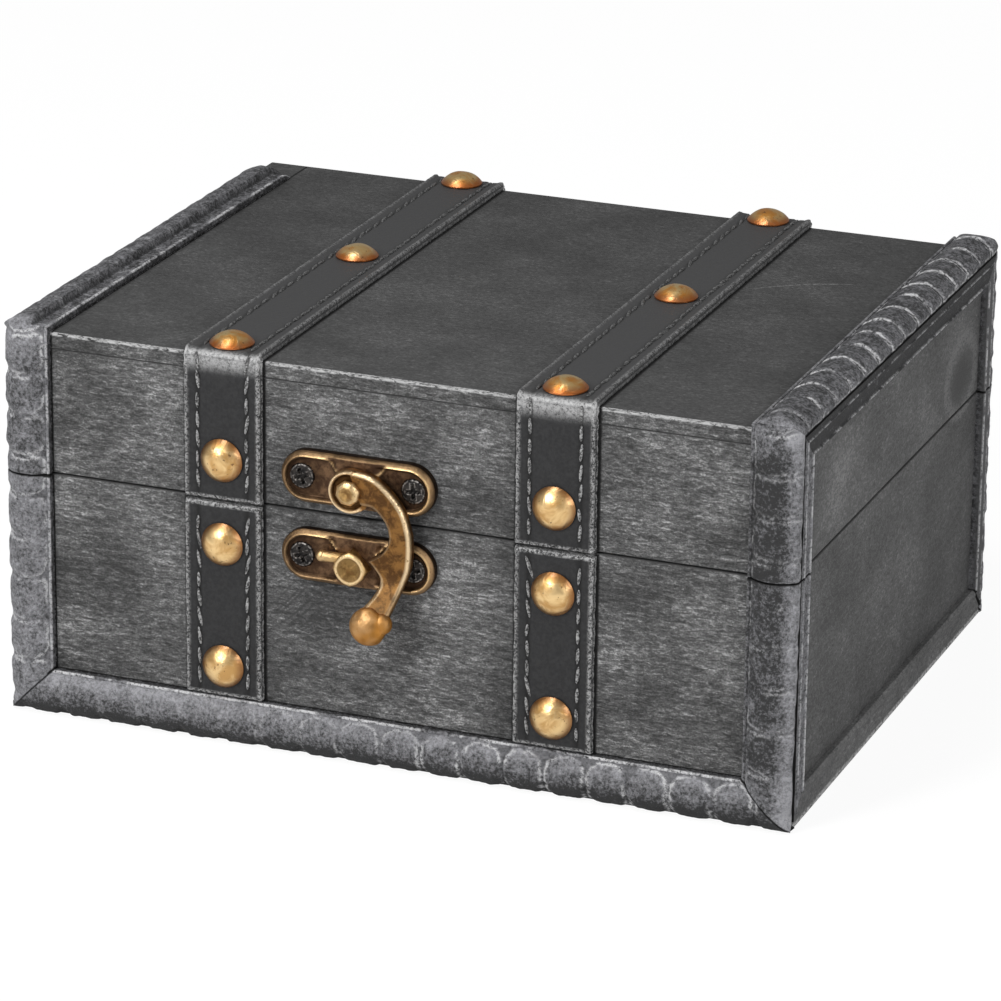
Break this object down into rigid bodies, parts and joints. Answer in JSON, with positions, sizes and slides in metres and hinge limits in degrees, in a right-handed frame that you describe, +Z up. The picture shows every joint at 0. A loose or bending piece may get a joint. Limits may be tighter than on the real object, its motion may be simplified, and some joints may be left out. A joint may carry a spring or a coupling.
{
  "type": "treasure chest box",
  "caption": "Small wooden treasure chest with a hinged lid, pillow-embossed corner mouldings, studded leather straps and a swing hook latch.",
  "frame": {"origin": "middle of the outer box, on the surface that the chest stands on", "axes": "+Z up, -Y out of the front with the latch, +X to the right seen from the front"},
  "size_m": [0.181, 0.154, 0.0917],
  "materials": {
    "stained_wood": "charcoal grey stain with a light dry-brushed wash, matt",
    "bare_wood": "charcoal grey stain, matt",
    "moulding_wood": "embossed wood, charcoal stain rubbed back on the high spots",
    "strap_leather": "black leather with grey stitching and rubbed edges",
    "stud_brass": "antique brass, satin",
    "latch_bronze": "antique bronze with edges rubbed to gold",
    "hinge_brass": "antique brass, dull",
    "screw_steel": "blackened steel"
  },
  "bodies": {
    "base": {"base_front_board": "stained_wood", "base_back_board": "stained_wood", "base_left_end": "stained_wood", "base_right_end": "stained_wood", "base_floor": "bare_wood", "base_left_front_moulding": "moulding_wood", "base_right_front_moulding": "moulding_wood", "base_left_back_moulding": "moulding_wood", "base_right_back_moulding": "moulding_wood", "base_front_bottom_moulding": "moulding_wood", "base_back_bottom_moulding": "moulding_wood", "base_left_bottom_strip": "moulding_wood", "base_right_bottom_strip": "moulding_wood", "base_left_front_strap": "strap_leather", "base_right_front_strap": "strap_leather", "base_left_back_strap": "strap_leather", "base_right_back_strap": "strap_leather", "base_studs": "stud_brass", "catch_plate": "latch_bronze", "catch_post": "latch_bronze", "catch_screws": "screw_steel", "left_hinge_base_leaf": "hinge_brass", "right_hinge_base_leaf": "hinge_brass", "left_hinge_pin": "hinge_brass", "right_hinge_pin": "hinge_brass", "hinge_base_screws": "screw_steel"},
    "lid": {"lid_top_board": "stained_wood", "lid_front_rail": "stained_wood", "lid_back_rail": "stained_wood", "lid_left_end": "stained_wood", "lid_right_end": "stained_wood", "lid_left_front_moulding": "moulding_wood", "lid_right_front_moulding": "moulding_wood", "lid_left_back_moulding": "moulding_wood", "lid_right_back_moulding": "moulding_wood", "lid_left_top_moulding": "moulding_wood", "lid_right_top_moulding": "moulding_wood", "lid_left_strap": "strap_leather", "lid_right_strap": "strap_leather", "lid_studs": "stud_brass", "latch_plate": "latch_bronze", "latch_screws": "screw_steel", "latch_rivet": "latch_bronze", "left_hinge_lid_leaf": "hinge_brass", "right_hinge_lid_leaf": "hinge_brass", "hinge_lid_screws": "screw_steel"},
    "hook": {"latch_hook": "latch_bronze"}
  },
  "joints": [
    {"name": "lid_hinge", "type": "hinge", "parent": "base", "child": "lid", "pos_m": [0, 0.07495, 0.0555], "axis": [-1, 0, 0], "range_deg": [0, 110]},
    {"name": "hook_pivot", "type": "hinge", "parent": "lid", "child": "hook", "pos_m": [-0.0078, -0.06825, 0.0628], "axis": [0, -1, 0], "range_deg": [0, 95]}
  ]
}
